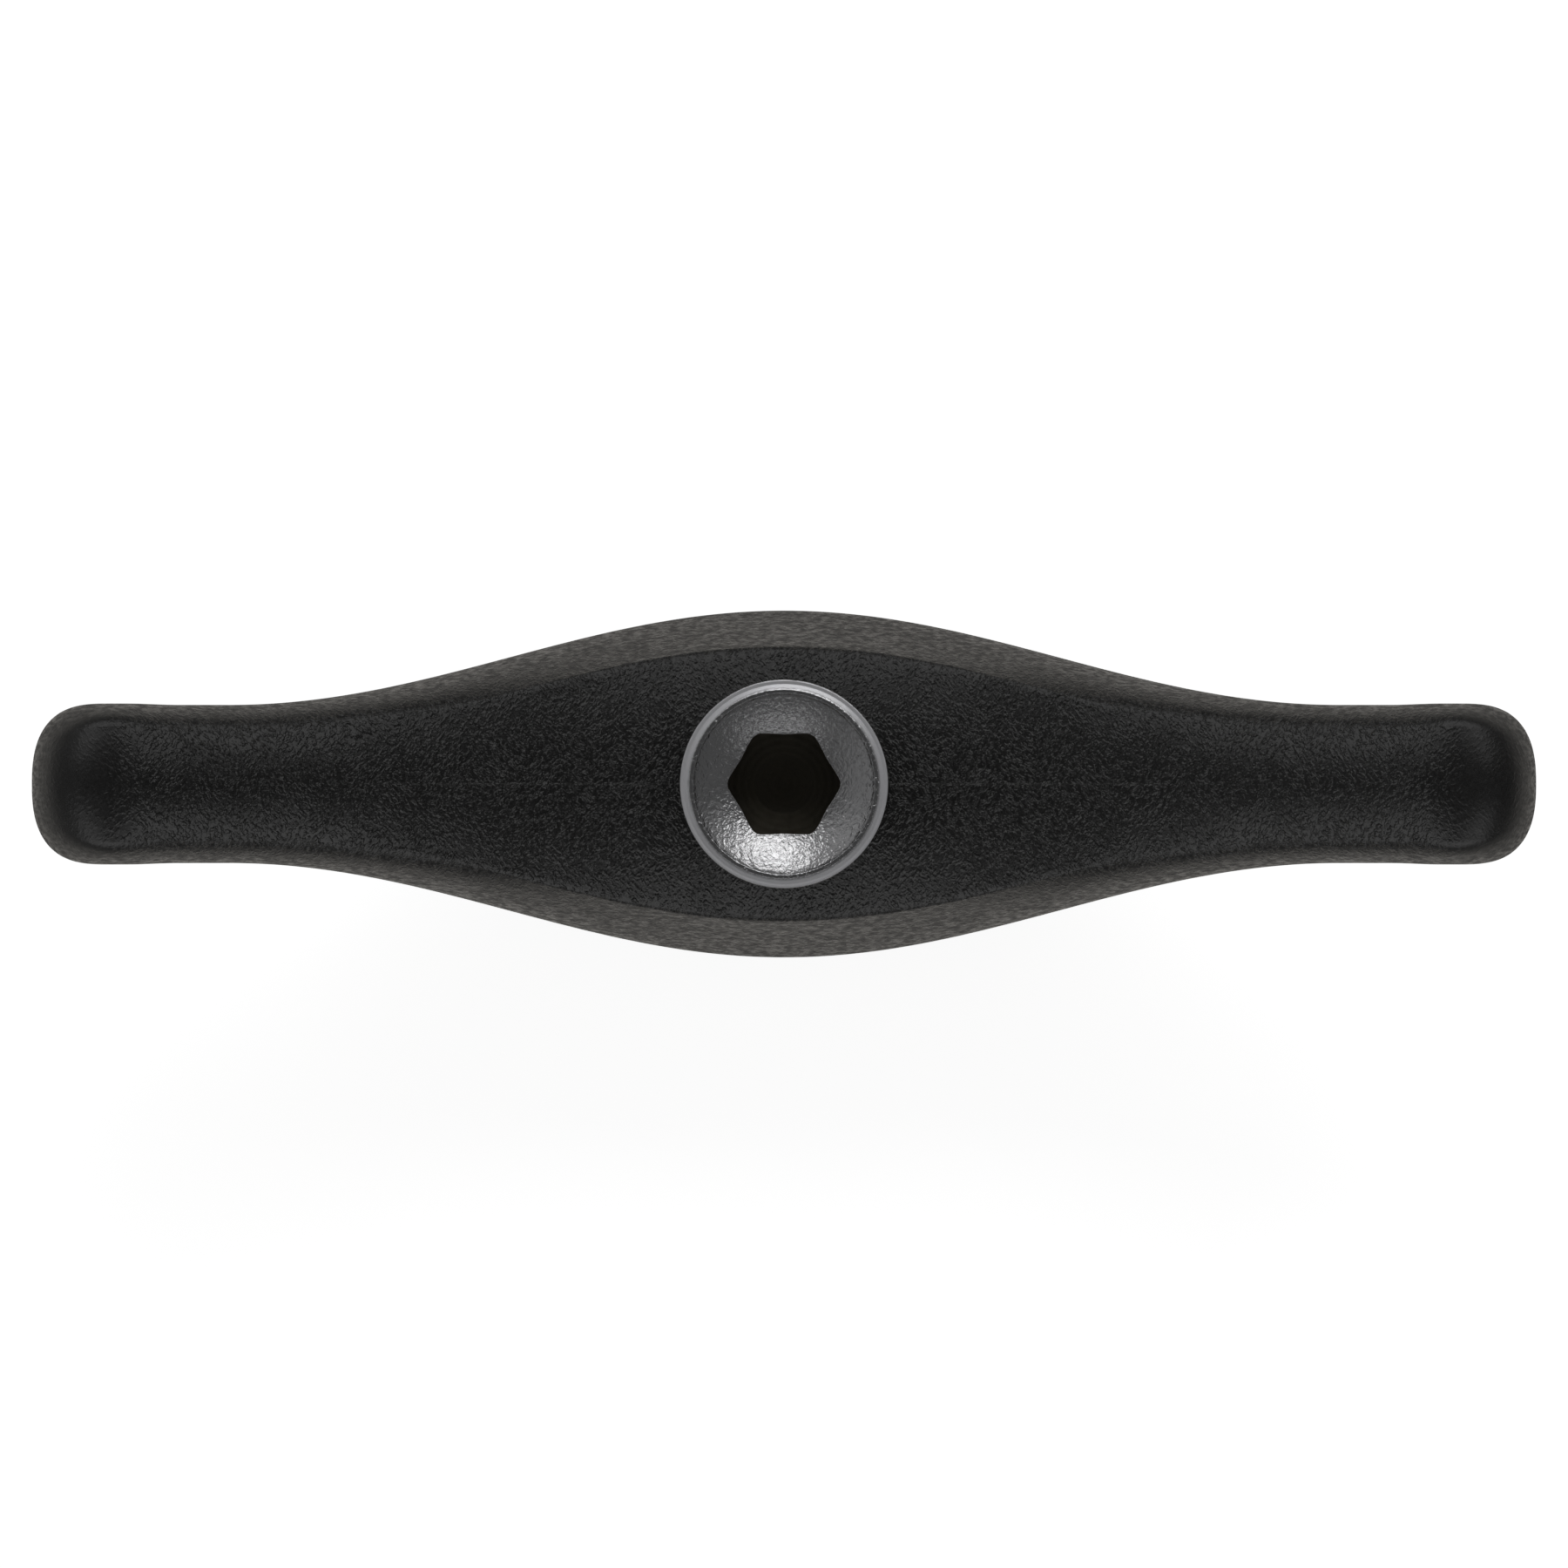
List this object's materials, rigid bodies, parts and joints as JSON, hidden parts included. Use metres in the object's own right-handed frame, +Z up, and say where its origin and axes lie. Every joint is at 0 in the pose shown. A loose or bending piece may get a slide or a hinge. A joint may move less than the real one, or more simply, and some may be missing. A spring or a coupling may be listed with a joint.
{
  "type": "wing nut",
  "caption": "Long wing nut: two upswept moulded wings on a steel core with a threaded hole below and a hexagon socket in a dished boss above.",
  "frame": {"origin": "centre of the steel core's lower end, which is the bearing face that clamps the work", "axes": "+Z up the screw axis to the boss and the hexagon socket, X along the two wings, Y across them"},
  "size_m": [0.0892, 0.0208, 0.0294],
  "materials": {
    "moulded_plastic": "black glass-filled polyamide with a fine spark-eroded grain",
    "blasted_steel": "turned steel, bead-blasted satin"
  },
  "bodies": {
    "root": {"wing_body": "moulded_plastic", "threaded_core": "blasted_steel"}
  },
  "joints": []
}
